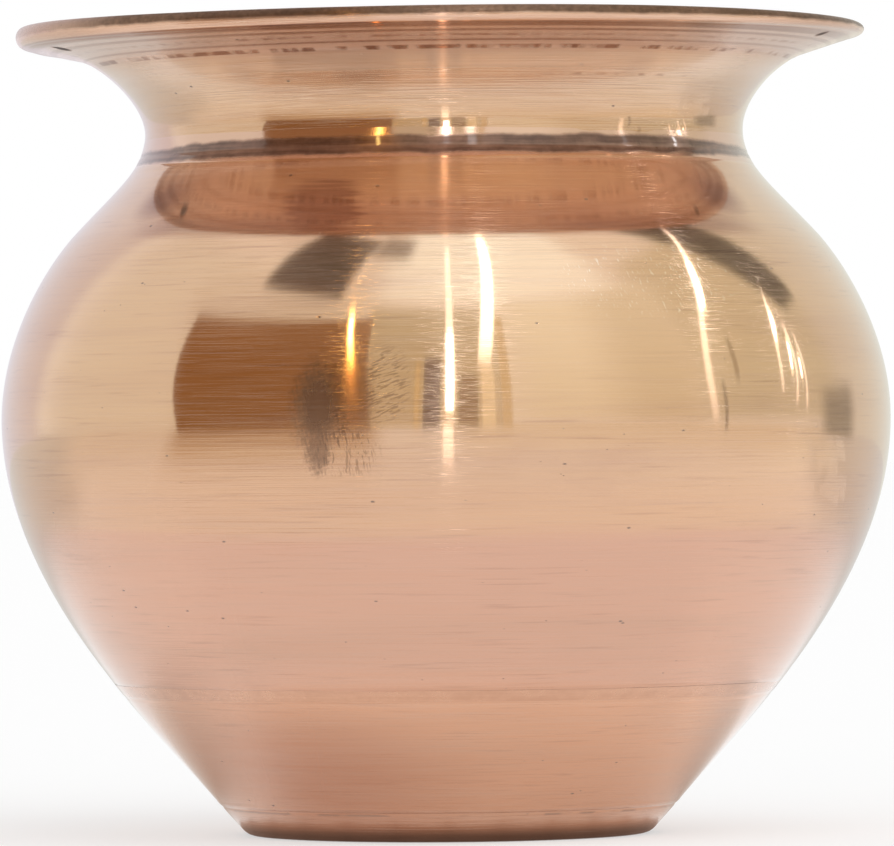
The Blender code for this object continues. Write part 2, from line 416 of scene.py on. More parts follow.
class Wire:  # one socket of a material, so that shader sums read as plain arithmetic
    def __init__(self, tree, socket=None):
        self.tree, self.socket = tree, socket

    def node(self, kind, settings=None, inputs=None, output=0):
        made = self.tree.nodes.new(kind)
        for key, value in (settings or {}).items():
            setattr(made, key, value)
        for key, value in (inputs or {}).items():
            if isinstance(value, Wire):
                self.tree.links.new(value.socket, made.inputs[key])
            else:
                made.inputs[key].default_value = value
        return Wire(self.tree, made.outputs[output] if made.outputs else None)

    def sum(self, operation, *values):
        return self.node("ShaderNodeMath", {"operation": operation}, dict(enumerate(values)))

    def __add__(self, other):
        return self.sum("ADD", self, other)

    def __radd__(self, other):
        return self.sum("ADD", other, self)

    def __sub__(self, other):
        return self.sum("SUBTRACT", self, other)

    def __rsub__(self, other):
        return self.sum("SUBTRACT", other, self)

    def __mul__(self, other):
        return self.sum("MULTIPLY", self, other)

    def __rmul__(self, other):
        return self.sum("MULTIPLY", other, self)

    def __truediv__(self, other):
        return self.sum("DIVIDE", self, other)

    def __pow__(self, other):
        return self.sum("POWER", self, other)

    def steps(self, low, high):  # 0 below low, 1 above high, smooth between
        return self.node("ShaderNodeMapRange", {"interpolation_type": "SMOOTHSTEP"},
                         {"Value": self, "From Min": low, "From Max": high})

    def blend(self, first, second):  # two colours, by this value
        return self.node("ShaderNodeMix", {"data_type": "RGBA"},
                         {0: self, 6: rgba(first), 7: rgba(second)}, 2)

    def split(self, axis):  # one of x, y and z
        return self.node("ShaderNodeSeparateXYZ", None, {0: self}, axis)

    def surface(self):  # the end of a material
        self.node("ShaderNodeOutputMaterial", None, {"Surface": self})


def rgba(shade):
    return shade if isinstance(shade, Wire) else (*shade, 1.0)


def newFinish(name):
    finish = bpy.data.materials.new(name)
    finish.use_nodes = True
    finish.node_tree.nodes.clear()
    return finish, Wire(finish.node_tree)


class Turned:  # where a point is on a turned piece: round the axis, out from it and up
    def __init__(self, start, tilt=0.0):
        self.start = start
        self.spot = start.node("ShaderNodeTexCoord", output="Object")
        self.x, self.y, self.z = (self.spot.split(axis) for axis in range(3))
        if tilt:
            self.z = self.z - self.x * math.tan(math.radians(tilt))
        self.r = (self.x * self.x + self.y * self.y + 0.0000001) ** 0.5  # never zero
        self.cos, self.sin = self.x / self.r, self.y / self.r

    def lines(self, perMetre, wander, seed, detail=2.0):  # marks that run round the pot
        place = self.start.node("ShaderNodeCombineXYZ", None,
                                {0: self.r * perMetre, 1: self.z * perMetre, 2: self.cos * wander})
        return self.start.node("ShaderNodeTexNoise", {"noise_dimensions": "4D"},
                               {"Vector": place, "W": self.sin * wander + seed, "Scale": 1.0,
                                "Detail": detail, "Roughness": 0.55})

    def cloud(self, perMetre, detail=3.0, squash=1.0, seed=0.0):
        place = self.start.node("ShaderNodeMapping", None,
                                {"Vector": self.spot, "Location": (seed, seed * 0.7, 0),
                                 "Scale": (1, 1, squash)})
        return self.start.node("ShaderNodeTexNoise", {"noise_dimensions": "3D"},
                               {"Vector": place, "Scale": perMetre, "Detail": detail, "Roughness": 0.6})

    def strokes(self, long, thin, degrees):  # wiped marks on the front, at a slant
        place = self.start.node("ShaderNodeMapping", {"vector_type": "TEXTURE"},
                                {"Vector": self.spot, "Rotation": (0, math.radians(degrees), 0),
                                 "Scale": (long, long, thin)})
        return self.start.node("ShaderNodeTexNoise", {"noise_dimensions": "3D"},
                               {"Vector": place, "Scale": 1.0, "Detail": 2.0, "Roughness": 0.6})

    def ring(self, height, width):  # 1 on a line round the pot, 0 beside it
        off = (self.z - height) / width
        return (1 - off * off).steps(0.0, 0.8)

    def patch(self, place, wide, tall, square=1):  # 1 in the middle of a spot on the wall, 0 at its edge
        dx, dy, dz = (self.x - place[0]) / wide, (self.y - place[1]) / wide, (self.z - place[2]) / tall
        dx, dy, dz = ((part * part) ** square for part in (dx, dy, dz))
        return 1 - (dx + dy + dz) ** (0.5 / square)

    def specks(self, perMetre, size, share, seed):  # small pits, longer round the pot than up it
        place = self.start.node("ShaderNodeMapping", None,
                                {"Vector": self.spot, "Location": (seed, seed, seed),
                                 "Scale": (1, 1, 2.2)})
        cells = {"Vector": place, "Scale": perMetre}
        near = self.start.node("ShaderNodeTexVoronoi", None, cells)
        odds = self.start.node("ShaderNodeTexVoronoi", None, cells, "Color")
        chance = self.start.node("ShaderNodeSeparateColor", None, {0: odds})
        return (1 - near.steps(size * 0.4, size)) * chance.steps(1 - share, 1 - share + 0.05)


# lacquered copper, spun on a lathe: part mirror and part brushed, which draws lamps out into streaks
copperLook = {
    "low": (0.726, 0.384, 0.250), "middle": (0.77, 0.438, 0.245), "high": (0.797, 0.506, 0.297),
    "middleFrom": (0.0360, 0.0392), "highFrom": (0.0390, 0.0500),  # heights where the colour turns
    "deep": (0.58, 0.31, 0.19), "stain": (0.26, 0.13, 0.085), "pit": (0.10, 0.06, 0.045),
    "smudge": (0.42, 0.20, 0.12), "scratchPale": (0.97, 0.90, 0.82), "paleShare": 0.45,
    "mirror": 0.075, "brush": 0.095, "brushShare": 0.16, "tilt": 0.0,
    "fineLines": (2400, 2.4, 1.3), "bandLines": (620, 1.6, 4.1),  # per metre, wander, seed and detail
    "broadLines": (120, 0.9, 7.7, 1.0), "wipeLines": (2300, 5.0, 3.7, 1.0),
    "scratchLines": (6500, 3.0, 11.3, 1.0),
    "mottle": (42, 4.0, 1.6, 0.3),  # per metre, detail, squash and seed
    "fineDark": 0.17, "bandDark": 0.20, "broadDark": 0.32, "mottleDark": 0.30,
    "smudgeDark": 0.40, "pitDark": 0.7,
    "bigPits": (170, 0.060, 0.70, 0.2), "smallPits": (420, 0.075, 0.40, 0.7),  # per metre, size, share, seed
    "lineDepth": 0.000006, "bandDepth": 0.000014, "scratchDepth": 0.00010, "pitDepth": 0.00002,
}


def raised(start, height):
    return start.node("ShaderNodeBump", None, {"Strength": 1.0, "Distance": 1.0, "Height": height})


def lacquered(start, shade, rough, bump, grain, coat=1.0, metal=1.0):
    return start.node("ShaderNodeBsdfPrincipled", None, {
        "Base Color": shade, "Metallic": metal, "Roughness": rough, "Normal": bump,
        "Anisotropic": grain, "Anisotropic Rotation": 0.25,
        "Coat Weight": coat, "Coat Roughness": 0.06, "Coat IOR": 1.5})


def polishedCopper(name, wearAndPaintedLight, **changes):
    look = {**copperLook, **changes}
    finish, start = newFinish(name)
    at = Turned(start, look["tilt"])
    fine = at.lines(*look["fineLines"])
    band = at.lines(*look["bandLines"])
    broad = at.lines(*look["broadLines"])
    mottle = at.cloud(*look["mottle"])
    shade = at.z.steps(*look["highFrom"]).blend(look["middle"], look["high"])
    shade = (at.z + (band - 0.5) * 0.004).steps(*look["middleFrom"]).blend(look["low"], shade)
    marks = fine.steps(0.45, 0.75) * look["fineDark"] + band.steps(0.45, 0.80) * look["bandDark"]
    marks = marks + broad.steps(0.40, 0.70) * look["broadDark"]
    marks = marks + mottle.steps(0.55, 0.85) * look["mottleDark"]
    shade = marks.blend(shade, look["deep"])
    smudge = at.lines(*look["wipeLines"]).steps(0.56, 0.80)  # marks from wiping
    shade = (smudge * mottle.steps(0.36, 0.60) * look["smudgeDark"]).blend(shade, look["smudge"])
    pits = at.specks(*look["bigPits"])
    pits = pits.sum("MAXIMUM", pits, at.specks(*look["smallPits"]) * mottle.steps(0.42, 0.60))
    rough = look["mirror"] + (band - 0.5) * 0.03 + mottle.steps(0.5, 0.9) * 0.02
    share = look["brushShare"] * (1 + (band - 0.5) * 0.8 + (fine - 0.5) * 0.8)
    # each piece's marks: real wear, with painted reflection, shade and glints among them
    shade, rough, share, coat, metal = wearAndPaintedLight(at, look, shade, rough, share)
    shade = (pits * look["pitDark"]).blend(shade, look["pit"])
    bump = raised(start, fine * look["lineDepth"] + band * look["bandDepth"] - pits * look["pitDepth"])
    grooves = raised(start, at.lines(*look["scratchLines"]) * look["scratchDepth"])
    paler = start.node("ShaderNodeMix", {"data_type": "RGBA"},
                       {0: look["paleShare"], 6: shade, 7: rgba(look["scratchPale"])}, 2)
    mirror = lacquered(start, shade, rough + pits * 0.3, bump, 1.0, coat, metal)
    brushed = lacquered(start, paler, look["brush"], grooves, 1.0, coat, metal)
    start.node("ShaderNodeMixShader", None, {0: share, 1: mirror, 2: brushed}).surface()
    return finish


bellyMarks = {
    "film": (-0.0150, -0.0529, 0.0528), "filmSize": (0.0046, 0.0078), "filmShade": (0.17, 0.100, 0.075),
    "smear": (-0.0112, -0.0538, 0.0540), "smearSize": (0.0044, 0.0066),
    "smearShade": (0.36, 0.165, 0.075),
    "tail": (-0.0151, -0.0528, 0.0476), "tailSize": (0.0022, 0.0042),
    "wipe": (-0.0072, -0.0545, 0.0552), "wipeSize": (0.0036, 0.0062), "wipeShade": (0.38, 0.19, 0.09),
    "dabs": (-0.0118, -0.0537, 0.0473), "dabSize": (0.0050, 0.0036),
    "scuffs": (0.025, -0.044, 0.0675), "scuffSize": (0.017, 0.006),
    "scratchGlintShade": (0.96, 0.78, 0.56), "scratchGlintLevel": 0.6,
    "wiped": (0.0015, 0.00022, -20), "dabbed": (0.0011, 0.00024, 82),  # strokes: long, thin and degrees
    "glintScratches": (0.0008, 0.00020, 66),
    "wipeLevel": 0.75, "smearLevel": 0.6, "filmLevel": 0.80, "screenReflectionLevel": 0.85, "stripLevel": 0.2,
    "satin": (0.036, 0.056), "satinShare": 0.06,  # heights between the satin half and the bright shoulder
    "reflectedCollar": (0.0725, 0.0741), "reflectedCollarEnds": (0.50, 0.74), "reflectedCollarSides": (0.03, 0.15),  # painted reflection: the band under the throat is darkened where it mirrors the collar
    "reflectedCollarLevel": (0.30, 0.45), "darkReflectionLevel": (0.25, 0.35),  # in front, and what the sides add to it
    "reflectedCollarShade": (0.66, 0.37, 0.215), "darkReflectionShade": (0.34, 0.135, 0.065), "darkReflectionEdge": (0.0742, 0.0766),
    "darkReflectionEnds": [(-0.0338, -0.0250, 0.0778), (0.0328, -0.0265, 0.0780)], "darkReflectionEndSize": (0.0064, 0.0043),
    "screenReflection": (-0.0146, -0.0412, 0.0762), "screenReflectionSize": (0.0060, 0.0044),
    "strip": 0.0820, "stripWidth": 0.0005, "stripTilt": 0.02, "stripShade": (0.84, 0.58, 0.46),
}


def bellyWearAndPaintedLight(at, look, shade, rough, share):
    marks = bellyMarks
    satin = 1 - at.z.steps(*marks["satin"])
    share = share + satin * marks["satinShare"]
    # painted reflection: the shoulder band under the throat is tinted darker and redder where it mirrors the
    # collar
    reflectedCollar = at.z.steps(*marks["reflectedCollar"]) * (1 - (at.cos * at.cos).steps(*marks["reflectedCollarEnds"]))
    aside = (at.cos * at.cos).steps(*marks["reflectedCollarSides"])  # the painted reflection is stronger towards the two sides
    reflectedFront, reflectedMore = marks["reflectedCollarLevel"]
    darkFront, darkMore = marks["darkReflectionLevel"]
    shade = (reflectedCollar * (reflectedFront + aside * reflectedMore)).blend(shade, marks["reflectedCollarShade"])
    wiped = at.strokes(*marks["wiped"])
    dabbed = at.strokes(*marks["dabbed"])
    # painted shade: darker towards the crease at the foot of the band, and at the band's two ends
    darkReflection = reflectedCollar * (1 - at.z.steps(*marks["darkReflectionEdge"])) * (darkFront + aside * darkMore)
    for place in marks["darkReflectionEnds"]:
        darkReflection = darkReflection.sum("MAXIMUM", darkReflection, at.patch(place, *marks["darkReflectionEndSize"]).steps(0.0, 0.9))
    # painted reflection: a dark blotch low in the band, where a dark screen is mirrored
    screenReflection = at.patch(marks["screenReflection"], *marks["screenReflectionSize"], 2) + (at.lines(1500, 3.0, 2.2) - 0.5) * 1.2
    darkReflection = darkReflection.sum("MAXIMUM", darkReflection, screenReflection.steps(0.1, 0.5) * marks["screenReflectionLevel"])
    shade = darkReflection.blend(shade, marks["darkReflectionShade"])
    off = (at.z - at.x * marks["stripTilt"] - marks["strip"]) / marks["stripWidth"]
    strip = (1 - off * off).steps(0.0, 0.8)  # a paler line just under the braze
    shade = (strip * marks["stripLevel"]).blend(shade, marks["stripShade"])
    blur = (wiped - 0.5) * 0.35 + (dabbed - 0.5) * 0.40
    film = (at.patch(marks["film"], *marks["filmSize"]) + blur).steps(0.05, 0.75)
    tail = (at.patch(marks["tail"], *marks["tailSize"]) + blur * 1.5).steps(0.05, 0.60) * 0.7
    film = film.sum("MAXIMUM", film, tail)
    smear = (at.patch(marks["smear"], *marks["smearSize"]) + blur).steps(0.05, 0.65)
    wipe = wiped.steps(0.50, 0.60) * at.patch(marks["wipe"], *marks["wipeSize"]).steps(0.0, 0.5)
    dabs = dabbed.steps(0.54, 0.62) * at.patch(marks["dabs"], *marks["dabSize"]).steps(0.0, 0.5)
    shade = (wipe.sum("MAXIMUM", wipe, dabs) * marks["wipeLevel"]).blend(shade, marks["wipeShade"])
    shade = (smear * marks["smearLevel"]).blend(shade, marks["smearShade"])
    shade = (film * marks["filmLevel"]).blend(shade, marks["filmShade"])
    scuffed = at.patch(marks["scuffs"], *marks["scuffSize"]).steps(0.0, 0.5)
    # real hairline scratches, with a painted glint: their colour is lightened towards a pale gold highlight
    glintScratches = at.strokes(*marks["glintScratches"]).steps(0.63, 0.69) * scuffed
    shade = (glintScratches * marks["scratchGlintLevel"]).blend(shade, marks["scratchGlintShade"])
    haze = film.sum("MAXIMUM", film, smear * 0.5)
    rough = rough + haze * 0.20
    share = (share + glintScratches * 0.3) * (1 - haze * 0.7)
    return shade, rough, share, 1 - film * 0.5, 1 - strip * 0.06


collarMarks = {  # turning lines under the flare: height, half width, strength, broken or not
    "lines": [(0.0976, 0.00034, 0.75, False), (0.0970, 0.00015, 0.65, False),
              (0.0965, 0.00013, 0.60, True), (0.0960, 0.00012, 0.55, False),
              (0.0953, 0.00028, 0.85, True)],
    "creaseShadows": [(-0.0466, -0.0145, 0.0971), (0.0466, -0.0178, 0.0971)], "creaseShadowSize": (0.0017, 0.0008),
    "faint": (0.0225, -0.0350, 0.0922), "faintSize": (0.014, 0.004), "faintWidth": 0.00018,
    "faintLevel": 0.6, "dullLevel": 0.80, "dullMetal": 0.45, "paleReflectionLevel": (0.25, 0.25),
    "lineShade": (0.22, 0.085, 0.05), "creaseShadowShade": (0.07, 0.035, 0.025),
    "paleReflectionFrom": (0.0885, 0.0925), "paleReflectionTo": (0.0944, 0.0955), "pale": (0.84, 0.60, 0.42),
    "dullFrom": (0.0915, 0.0938), "dullTo": (0.0962, 0.0980),
    "dullTurn": (0.0944, 0.0957), "dull": (0.72, 0.41, 0.27),
    "rimFrom": (0.0985, 0.0990), "rimShade": (0.17, 0.095, 0.06),
    "satinFrom": (0.0870, 0.0905), "bareFrom": (0.0930, 0.0955),
}


def collarWearAndPaintedLight(at, look, shade, rough, share):
    marks = collarMarks
    pale = at.z.steps(*marks["paleReflectionFrom"]) * (1 - at.z.steps(*marks["paleReflectionTo"]))  # painted reflection: lighter under the flare
    reflectionLeft, reflectionMore = marks["paleReflectionLevel"]
    # the painted reflection is stronger towards the right
    shade = (pale * (reflectionLeft + at.cos.steps(-0.2, 0.5) * reflectionMore)).blend(shade, marks["pale"])
    dull = at.z.steps(*marks["dullFrom"]) * (1 - at.z.steps(*marks["dullTo"]) * 0.6)  # from handling
    shade = (at.z.steps(*marks["dullTurn"]) * marks["dullLevel"]).blend(shade, marks["dull"])
    dashes = (at.lines(300, 26.0, 6.2, 1.0) * 0.8 + at.lines(300, 5.0, 2.6, 1.0) * 0.4).steps(0.50, 0.72)
    near = at.patch(marks["faint"], *marks["faintSize"]).steps(0.0, 0.4)
    waved = at.ring(marks["faint"][2], marks["faintWidth"]) * dashes * near * marks["faintLevel"]
    for height, width, strength, broken in marks["lines"]:
        line = at.ring(height, width) * strength
        waved = waved + (line * dashes if broken else line)
    waved = waved * (0.45 + at.lines(200, 2.0, 5.1, 1.0) * 0.7)
    shade = waved.blend(shade, marks["lineShade"])
    # painted shadow in the crease under the rolled rim, at the two ends of the rim
    for place in marks["creaseShadows"]:
        creaseShadow = at.patch(place, *marks["creaseShadowSize"]).steps(0.0, 0.5)
        shade = creaseShadow.blend(shade, marks["creaseShadowShade"])
        rough = rough + creaseShadow * 0.7
        waved = waved + creaseShadow
    clear = 1 - waved.steps(0.0, 0.9)  # no lacquer and no dull film on the marks
    ragged = at.z + (at.cloud(240, 3.0, 1.0, 0.6) - 0.5) * 0.0005
    top = ragged.steps(*marks["rimFrom"]) * (0.4 + at.cos.steps(-0.97, -0.70) * 0.6)
    grain = at.cloud(1700, 2.0, 1.0, 0.9)
    shade = (top * (0.75 + grain * 0.3)).blend(shade, marks["rimShade"])
    satin = at.z.steps(*marks["satinFrom"])
    rough = rough + satin * 0.08 + top * (0.12 + grain * 0.35)
    coat = 1 - at.z.steps(*marks["bareFrom"]) * 0.6  # lacquer is thin under the flare
    coat = coat * (1 - top * 0.9) * clear  # and gone from the rim
    share = (share - (1 - satin) * 0.10) * (1 - top * 0.9) * (0.15 + clear * 0.85)
    return shade, rough, share, coat, 1 - dull * (1 - top) * clear * marks["dullMetal"]


cupMarks = {
    "low": (0.0, 0.012), "foot": (0.0006, 0.0022), "line": (0.0034, 0.00016),
    "leftShade": (-0.015, -0.026, 0.009), "leftShadeSize": (0.024, 0.014), "leftShadeColour": (0.50, 0.20, 0.10),
    "lowLevel": 0.6, "leftShadeLevel": 0.9, "lineLevel": 0.6, "footShadowLevel": 0.75, "rougher": (0.08, 0.05),
}


def cupWearAndPaintedShade(at, look, shade, rough, share):
    marks = cupMarks
    low = 1 - at.z.steps(*marks["low"])
    shade = (low * at.cloud(60, 4.0, 2.0, 0.5) * marks["lowLevel"]).blend(shade, look["deep"])
    leftShade = at.patch(marks["leftShade"], *marks["leftShadeSize"]).steps(0.0, 0.9)  # painted shade: darker and redder at the left side of the foot
    shade = (leftShade * marks["leftShadeLevel"]).blend(shade, marks["leftShadeColour"])
    dashes = at.lines(300, 8.0, 3.7, 1.0).steps(0.48, 0.58)
    shade = (at.ring(*marks["line"]) * dashes * marks["lineLevel"]).blend(shade, look["stain"])
    # painted shadow: the bottom edge is darkened as if in contact shade, and its lacquer shine taken off
    foot = 1 - at.z.steps(*marks["foot"])
    shade = (foot * marks["footShadowLevel"]).blend(shade, look["pit"])
    wholeCup, lowPart = marks["rougher"]
    return shade, rough + wholeCup + low * lowPart, share, 1 - foot, 1.0


insideLook = {
    "dark": (0.62, 0.36, 0.25), "pale": (0.72, 0.43, 0.30), "stain": (0.42, 0.22, 0.14),
    "rough": 0.30, "lineDepth": 0.000008, "bandDepth": 0.00003,
}


def insideCopper(name):  # bare copper, spun and left satin
    look = insideLook
    finish, start = newFinish(name)
    at = Turned(start)
    fine = at.lines(1500, 1.6, 2.9)
    band = at.lines(300, 1.0, 5.5)
    mottle = at.cloud(38, 5.0, 1.0, 0.8)
    shade = band.steps(0.3, 0.75).blend(look["dark"], look["pale"])
    shade = (mottle.steps(0.48, 0.80) * 0.5).blend(shade, look["stain"])
    rough = look["rough"] + (fine - 0.5) * 0.12 + mottle.steps(0.4, 0.8) * 0.12
    bump = raised(start, fine * look["lineDepth"] + band * look["bandDepth"])
    start.node("ShaderNodeBsdfPrincipled", None, {
        "Base Color": shade, "Metallic": 1.0, "Roughness": rough, "Normal": bump,
        "Anisotropic": 0.7, "Anisotropic Rotation": 0.25}).surface()
    return finish


throatBrazeLook = {
    "dark": (0.13, 0.068, 0.050), "pale": (0.27, 0.155, 0.115),
    "rough": 0.34, "grit": 0.000008, "tilt": 0.3,
    "foot": (0.0827, 0.0832), "top": (0.0848, 0.0854), "thin": 0.0010, "rag": 0.0009,
    "valley": 0.0838, "valleyWidth": 0.0004, "valleyBare": 0.12,
    "copper": (0.76, 0.50, 0.37), "copperRough": 0.14,
}
lowerBrazeLook = {
    "dark": (0.66, 0.375, 0.25), "pale": (0.74, 0.43, 0.29), "rough": 0.24, "grit": 0.000002, "tilt": 0.0,
}
rimWireLook = {
    "dark": (0.34, 0.18, 0.11), "pale": (0.55, 0.30, 0.20), "rough": 0.42, "grit": 0.00001, "tilt": 0.0,
}


def brazeMetal(name, look):
    finish, start = newFinish(name)
    at = Turned(start, look["tilt"])
    lump = at.cloud(500, 4.0, 1.0, 0.4)
    smear = at.lines(2200, 4.0, 3.3)
    shade = (lump * 0.5 + smear * 0.5).steps(0.35, 0.65).blend(look["dark"], look["pale"])
    dull = look["rough"] + (lump - 0.5) * 0.25 + (smear - 0.5) * 0.15
    if "copper" in look:  # filler thins out into the copper, which shows in the valley between its two runs
        height = at.z + (at.cloud(190, 3.0, 1.0, 0.2) - 0.5) * look["rag"]
        thin = (at.cos * at.cos).steps(0.45, 1.0) * (0.8 + at.cos * 0.2) * look["thin"]
        filler = height.steps(*look["foot"]) * (1 - (height + thin).steps(*look["top"]))
        off = (height - look["valley"]) / look["valleyWidth"]
        filler = filler * (1 - (1 - off * off).steps(0.0, 0.9) * look["valleyBare"])
        shade = filler.blend(look["copper"], shade)
        dull = look["copperRough"] + filler * (dull - look["copperRough"])
    bump = raised(start, lump * look["grit"] + smear * (look["grit"] * 0.5))
    lacquered(start, shade, dull, bump, 0.8).surface()
    return finish


def dress(piece, node, *finishes):
    for place, finish in enumerate(finishes):
        if place == len(piece.material_slots):
            piece.data.materials.append(finish)
        piece.material_slots[place].material = finish
    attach(piece, "root")
    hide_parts(node)


inside = insideCopper("innerCopper")
cupCopper = polishedCopper("cupCopper", cupWearAndPaintedShade, brush=0.12, brushShare=0.30, low=(0.76, 0.39, 0.225))
bellyCopper = polishedCopper("bellyCopper", bellyWearAndPaintedLight)
collarCopper = polishedCopper("collarCopper", collarWearAndPaintedLight, brush=0.11, brushShare=0.34,
                              scratchDepth=0.00020, tilt=0.33, high=(0.715, 0.43, 0.235))
throatFiller = brazeMetal("throatSeamBraze", throatBrazeLook)
lowerFiller = brazeMetal("lowerSeamBraze", lowerBrazeLook)
wireCopper = brazeMetal("rimWireCopper", rimWireLook)
dress(baseCup, "base_cup", cupCopper, inside)
dress(bellyShell, "belly_shell", bellyCopper, inside)
dress(neckCollar, "neck_collar", collarCopper, inside)
dress(throatBraze, "throat_braze", throatFiller)
dress(lowerBraze, "lower_braze", lowerFiller)
dress(rimWire, "rim_wire", wireCopper)
print("copper and braze finishes laid")


